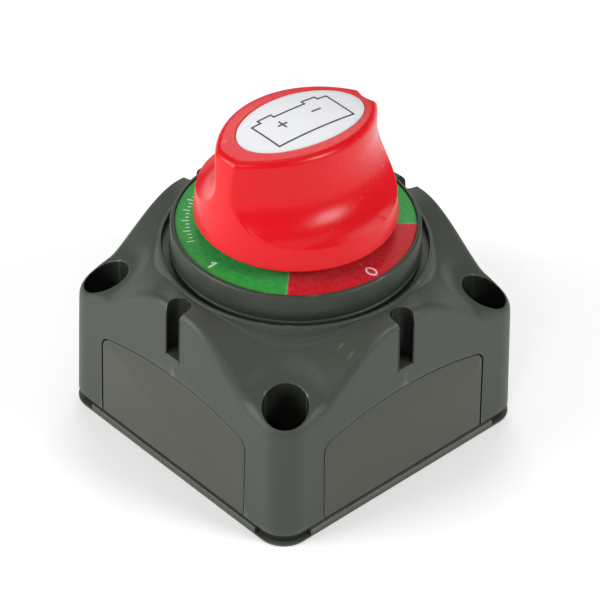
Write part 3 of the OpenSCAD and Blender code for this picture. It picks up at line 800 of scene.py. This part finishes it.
def makeTicks():
    # plain graduation marks on the green field
    s = {"from": 193, "to": 247, "count": 19, "short": 0.8, "long": 1.5, "width": 0.2}
    bm = bmesh.new()
    for i in range(s["count"]):
        length = s["long"] if i % 3 == 0 else s["short"]
        r0 = dial["printRadius"] - s["long"] / 2
        tick = [(r0, -s["width"] / 2), (r0 + length, -s["width"] / 2), (r0 + length, s["width"] / 2),
                (r0, s["width"] / 2)]
        angle = lerp(s["from"], s["to"], i / (s["count"] - 1))
        joinInto(bm, rotated(prism(tick, dial["labelZ"], dial["labelZ"] + dial["ink"]), angle))
    return newObject("dialTicks", bm, greenInk)


makeCollar()
redAngle = dial["redTo"] - dial["redFrom"]
green = makeFilm("dialGreen", greenFilm, dial["redTo"], 360 - redAngle)
red = makeFilm("dialRed", redFilm, dial["redFrom"], redAngle)
place(green, "housing", "dial_print", "dial_label")
place(red, "housing", "dial_print")
for mark in (makeDigitOne(), makeDigitZero(), makeTicks()):
    place(mark, "housing", "dial_print")
print("dial ready")

# ---------- knob ----------

knob = {
    "radius": 21.3, "foot": 51.9, "skirtTop": 58.5, "skirtLoss": 0.6, "topLoss": 1.5, "top": 75.2,
    "gripHalf": 12.25, "gripRadius": 25.4, "coveWidth": 7.6, "coveHeight": 10.0, "coveTop": 67.4,
    "crownRadius": 126.0, "crownAt": -8.8, "topRound": 1.5, "edgeSoft": 0.2, "footRound": 0.7,
    "notchAt": 23.1, "notchRadius": 4.0, "turns": 480, "layers": 120, "badgeLong": 15.8, "badgeWide": 8.7,
    "badgeAt": 0.9, "badgeDepth": 0.9, "badgeGap": 0.25,
    # the underside, and the bores for the spindle's square and the screw
    "hubRadius": 8.5, "hubFoot": 49.8, "hubBore": 3.6, "hollowRadius": 18.6, "hollowTop": 56.5, "hollowLip": 0.4,
    "squareHalf": 3.55, "squareTop": 65.2, "shankHole": 2.2, "headHole": 4.2, "headSeat": 66,
    "footSteps": 5, "rimSteps": 8, "crownSteps": 12, "domeSteps": 14, "rimGauge": 2, "notchRun": 1.5,
    "notchSoft": 0.8,
}


farAway = 100.0


def softMin(a, b, k):
    # the smaller of two, with the corner between them rounded over
    h = max(0.0, 1 - abs(a - b) / k)
    return min(a, b) - h * h * k / 4


def crownZ(x, y):
    k = knob
    return k["top"] - k["crownRadius"] + math.sqrt(k["crownRadius"] ** 2 - x * x - (y - k["crownAt"]) ** 2)


def scoopRadius(a, z):
    # distance from the axis to the hollow on the +X side, in the direction a at the height z
    k = knob
    centre = k["gripHalf"] - k["gripRadius"]
    reach = k["gripRadius"]
    if z < k["coveTop"]:
        drop = k["coveTop"] - z
        if drop >= k["coveHeight"]:
            return farAway
        reach += k["coveWidth"] * (1 - math.sqrt(1 - (drop / k["coveHeight"]) ** 2))
    across = centre * math.sin(a)
    return centre * math.cos(a) + math.sqrt(reach * reach - across * across)


def notchRadiusAt(a):
    # distance to the shallow flute at the far end of the grip
    off = abs(math.atan2(math.sin(a - math.pi / 2), math.cos(a - math.pi / 2)))
    across = knob["notchAt"] * math.sin(off)
    if off > 1 or across >= knob["notchRadius"]:
        return farAway
    return knob["notchAt"] * math.cos(off) - math.sqrt(knob["notchRadius"] ** 2 - across * across)


def knobRadius(a, z):
    k = knob
    if z < k["skirtTop"]:
        r = k["radius"] - k["skirtLoss"] * (z - k["foot"]) / (k["skirtTop"] - k["foot"])
    else:
        r = k["radius"] - lerp(k["skirtLoss"], k["topLoss"], (z - k["skirtTop"]) / (k["top"] - k["skirtTop"]))
    r = softMin(r, scoopRadius(a, z), k["edgeSoft"])
    r = softMin(r, scoopRadius(a + math.pi, z), k["edgeSoft"])
    if z > k["skirtTop"]:
        r = softMin(r, lerp(farAway, notchRadiusAt(a), min(1, (z - k["skirtTop"]) / k["notchRun"])), k["notchSoft"])
    return r


def knobPoint(layer, a):
    # layers 0..1 climb the side, 1..2 cross the rounded rim
    k = knob
    ca, sa = math.cos(a), math.sin(a)
    rim = knobRadius(a, k["top"] - k["rimGauge"])
    top = crownZ(rim * ca, rim * sa)
    if layer <= 0:
        turn = math.radians(90 * (1 + layer))
        r = knobRadius(a, k["foot"]) - k["footRound"] * (1 - math.sin(turn))
        return r * ca, r * sa, k["foot"] + k["footRound"] * (1 - math.cos(turn))
    if layer <= 1:
        z = lerp(k["foot"] + k["footRound"], top - k["topRound"], layer)
        r = knobRadius(a, z)
        return r * ca, r * sa, z
    turn = math.radians(90 * (layer - 1))
    r = knobRadius(a, top - k["topRound"]) - k["topRound"] * (1 - math.cos(turn))
    drop = k["topRound"] * (1 - math.sin(turn))
    return r * ca, r * sa, crownZ(r * ca, r * sa) - drop


def makeKnob():
    k = knob
    layers = [-1 + i / k["footSteps"] for i in range(k["footSteps"])]
    layers += [i / k["layers"] for i in range(k["layers"] + 1)]
    layers += [1 + i / k["rimSteps"] for i in range(1, k["rimSteps"] + 1)]
    crossing = [i / k["crownSteps"] for i in range(1, k["crownSteps"] + 1)]
    inner = [(k["hubBore"], k["hubFoot"]), (k["hubRadius"], k["hubFoot"]), (k["hubRadius"], k["hollowTop"]),
             (k["hollowRadius"], k["hollowTop"]), (k["hollowRadius"], k["foot"] + k["hollowLip"]),
             (k["hollowRadius"] + k["hollowLip"], k["foot"])]
    # the layer's number is kept in z until the layers are shaped
    profile = [(60, -1000 - i) for i in range(len(layers) + len(crossing))]
    bm = spinProfile(inner + profile, k["turns"])
    for v in bm.verts:
        if v.co.z > -900:
            continue
        index = round(-1000 - v.co.z)
        a = math.atan2(v.co.y, v.co.x)
        if index < len(layers):
            v.co = knobPoint(layers[index], a)
            continue
        # the top narrows from the rim to the badge's recess
        share = crossing[index - len(layers)]
        x0, y0, z0 = knobPoint(2, a)
        x1, y1 = ovalPoint(a, k["badgeGap"])
        x, y = lerp(x0, x1, share), lerp(y0, y1, share)
        v.co = (x, y, crownZ(x, y))
    edges = [e for e in bm.edges if e.is_boundary and all(v.co.z > k["coveTop"] for v in e.verts)]
    for inset, drop in ((0.08, 0.04), (0.12, 0.12), (0.12, k["badgeDepth"])):
        edges = pullRing(bm, edges)
        for v in {v for e in edges for v in e.verts}:
            v.co.x, v.co.y = ovalPoint(math.atan2(v.co.y, v.co.x), k["badgeGap"] - inset)
            v.co.z = crownZ(v.co.x, v.co.y) - drop
    domeFill(bm, edges, k["badgeDepth"])
    bmesh.ops.holes_fill(bm, edges=[e for e in bm.edges if e.is_boundary], sides=0)
    obj = newObject("gripKnob", bm, knobPlastic, 40)
    half, shank, head, seat, above = k["squareHalf"], k["shankHole"], k["headHole"], k["headSeat"], k["top"] + 1
    cutWith(obj, prism([(-half, -half), (half, -half), (half, half), (-half, half)], 48, k["squareTop"]))
    screwBore = [(0, seat - 2), (shank, seat - 2), (shank, seat), (head, seat), (head, above), (0, above)]
    cutWith(obj, spinProfile(screwBore, 48))
    shadeSmooth(obj.data, 40)
    return place(obj, "rotary", "knob_plastic", "knob")


def ovalPoint(a, grow):
    # the badge's outline in the direction a from the knob's axis
    long, wide, at = knob["badgeLong"] + grow, knob["badgeWide"] + grow, knob["badgeAt"]
    c, s = math.cos(a), math.sin(a)
    p = (c / wide) ** 2 + (s / long) ** 2
    q = s * at / long ** 2
    r = (q + math.sqrt(q * q - p * ((at / long) ** 2 - 1))) / p
    return r * c, r * s


def domeFill(bm, edges, depth):
    # closes an oval opening with rings that follow the crown, the given depth below it
    steps = knob["domeSteps"]
    for i in range(1, steps):
        edges = pullRing(bm, edges)
        for v in {v for e in edges for v in e.verts}:
            share = (steps - i) / (steps - i + 1)
            v.co.x *= share
            v.co.y = knob["badgeAt"] + (v.co.y - knob["badgeAt"]) * share
            v.co.z = crownZ(v.co.x, v.co.y) - depth
    bmesh.ops.holes_fill(bm, edges=edges, sides=0)


def makeBadge():
    # a domed oval plate that follows the crown
    k = knob
    turns = [2 * math.pi * i / 120 for i in range(120)]
    bm = bmesh.new()
    low = [bm.verts.new((*ovalPoint(a, 0), 0)) for a in turns]
    for v in low:
        v.co.z = crownZ(v.co.x, v.co.y) - k["badgeDepth"] + 0.03
    bm.faces.new(low)
    edges = bm.edges[:]
    for inset, drop in ((0, 0.14), (0.04, 0.06), (0.12, 0.02)):
        pulled = bmesh.ops.extrude_edge_only(bm, edges=edges)["geom"]
        rim = [g for g in pulled if isinstance(g, bmesh.types.BMVert)]
        edges = [g for g in pulled if isinstance(g, bmesh.types.BMEdge) and all(v in rim for v in g.verts)]
        for v in rim:
            v.co.x, v.co.y = ovalPoint(math.atan2(v.co.y, v.co.x), -inset)
            v.co.z = crownZ(v.co.x, v.co.y) - drop
    domeFill(bm, edges, 0.02)
    return place(newObject("knobBadge", bm, whiteFilm), "rotary", "badge_film", "knob_badge")


badgeSign = {"near": -9.2, "far": 11.2, "left": -3.6, "right": 4.75, "bump": 3.6, "bumpHeight": 0.95,
             "bumpIn": 2.4, "line": 0.42, "sign": 2.1, "signIn": 5.6, "signOff": -0.5, "ink": 0.03}


def strip(bm, x0, y0, x1, y1):
    # one printed line of the badge's sign, laid on the dome in short steps
    b = badgeSign
    start, end = Vector((x0, y0)), Vector((x1, y1))
    d = (end - start).normalized()
    n = Vector((-d.y, d.x)) * b["line"] / 2
    start, end = start - d * b["line"] / 2, end + d * b["line"] / 2
    steps = max(1, round((end - start).length / 0.7))
    rows = []
    for i in range(steps + 1):
        at = start.lerp(end, i / steps)
        rows.append([bm.verts.new((p.x, p.y, crownZ(p.x, p.y) - 0.02 + lift))
                     for p, lift in ((at - n, 0), (at + n, 0), (at + n, b["ink"]), (at - n, b["ink"]))])
    for low, high in zip(rows, rows[1:]):
        for i in range(4):
            bm.faces.new((low[i], low[(i + 1) % 4], high[(i + 1) % 4], high[i]))
    bm.faces.new(rows[0])
    bm.faces.new(rows[-1][::-1])


def makeBadgeSign():
    # a plain box with two terminals, a plus and a minus
    b = badgeSign
    bm = bmesh.new()
    left, right, near, far = b["left"], b["right"], b["near"], b["far"]
    out = left - b["bumpHeight"]
    points = [(right, near), (right, far), (left, far), (left, far - b["bumpIn"]), (out, far - b["bumpIn"]),
              (out, far - b["bumpIn"] - b["bump"]), (left, far - b["bumpIn"] - b["bump"]),
              (left, near + b["bumpIn"] + b["bump"]), (out, near + b["bumpIn"] + b["bump"]),
              (out, near + b["bumpIn"]), (left, near + b["bumpIn"]), (left, near)]
    for i, (px, py) in enumerate(points):
        strip(bm, *points[i - 1], px, py)
    half, plus, minus, off = b["sign"] / 2, near + b["signIn"], far - b["signIn"], b["signOff"]
    strip(bm, off, plus - half, off, plus + half)
    strip(bm, off - half, plus, off + half, plus)
    strip(bm, off, minus - half, off, minus + half)
    return place(newObject("badgeSign", bm, blackInk), "rotary", "badge_film")


gripKnob = makeKnob()
makeBadge()
makeBadgeSign()
print("knob ready:", len(gripKnob.data.polygons), "faces")

# ---------- pieces that keep their CAD shape ----------

slotOf = {part["node"]: part["material_slot"] for part in frame["record"]["subparts"]}
for node, obj in frame["nodes"].items():
    material = cadMaterials.get(slotOf.get(node))
    if material is not None:
        obj.data.materials.clear()
        obj.data.materials.append(material)
print("inner pieces ready")

# ---------- floor, lights and camera ----------

studio = {
    "floorSize": 6.0, "floorColour": (0.92, 0.92, 0.92, 1), "floorGlow": 0.2, "worldStrength": 0.24,
    "middle": (0, 0, 0.04),
    # power, size and place of each soft box
    "boxes": {
        "leftBox": (6.4, 0.5, (-0.35, -0.75, 0.35)),
        "rightBox": (4.0, 0.3, (0.7, 0.3, 0.46)),
        "frontBox": (0.8, 0.16, (0.36, -0.58, 0.6)),
        "topBox": (1.0, 0.6, (0.0, 0.1, 0.9)),
        "backBox": (2.0, 0.5, (-0.5, 0.48, 0.62)),
    },
}


def areaLight(name, power, size, location):
    data = bpy.data.lights.new(name, "AREA")
    data.energy = power
    data.shape = "RECTANGLE"
    data.size = data.size_y = size
    obj = bpy.data.objects.new(name, data)
    scene.collection.objects.link(obj)
    obj.location = location
    obj.rotation_euler = (Vector(studio["middle"]) - Vector(location)).to_track_quat("-Z", "Y").to_euler()


def makeStudio():
    bm = bmesh.new()
    bmesh.ops.create_grid(bm, x_segments=2, y_segments=2, size=studio["floorSize"] / 2)
    mesh = bpy.data.meshes.new("floor")
    bm.to_mesh(mesh)
    bm.free()
    floor = bpy.data.objects.new("floor", mesh)
    scene.collection.objects.link(floor)
    material = bpy.data.materials.new("paleFloor")
    material.use_nodes = True
    shader = material.node_tree.nodes["Principled BSDF"]
    shader.inputs["Base Color"].default_value = studio["floorColour"]
    shader.inputs["Roughness"].default_value = 0.9
    shader.inputs["Specular IOR Level"].default_value = 0.1
    shader.inputs["Emission Color"].default_value = (1, 1, 1, 1)
    shader.inputs["Emission Strength"].default_value = studio["floorGlow"]
    mesh.materials.append(material)
    world = bpy.data.worlds.new("studio")
    world.use_nodes = True
    world.node_tree.nodes["Background"].inputs["Color"].default_value = (1, 1, 1, 1)
    world.node_tree.nodes["Background"].inputs["Strength"].default_value = studio["worldStrength"]
    scene.world = world
    for name, (power, size, location) in studio["boxes"].items():
        areaLight(name, power, size, location)
    scene.view_settings.view_transform = "Standard"


def makeCamera():
    c = {"azimuth": 47.13, "elevation": 38.59, "distance": 0.7339, "targetZ": 0.02814, "lens": 208.85,
         "roll": 0.94, "shiftX": 0.0092, "shiftY": -0.0004}
    az, el, roll = (math.radians(c[k]) for k in ("azimuth", "elevation", "roll"))
    right = Vector((math.cos(az), math.sin(az), 0))
    back = Vector((math.sin(az) * math.cos(el), -math.cos(az) * math.cos(el), math.sin(el)))
    up = back.cross(right)
    tiltedRight = right * math.cos(roll) + up * math.sin(roll)
    tiltedUp = up * math.cos(roll) - right * math.sin(roll)
    data = bpy.data.cameras.new("camera")
    data.sensor_width = 36
    data.lens = c["lens"]
    data.shift_x, data.shift_y = c["shiftX"], c["shiftY"]
    obj = bpy.data.objects.new("camera", data)
    scene.collection.objects.link(obj)
    pose = Matrix((tiltedRight, tiltedUp, back)).transposed().to_4x4()
    pose.translation = back * c["distance"] + Vector((0, 0, c["targetZ"]))
    obj.matrix_world = pose
    scene.camera = obj


makeStudio()
makeCamera()
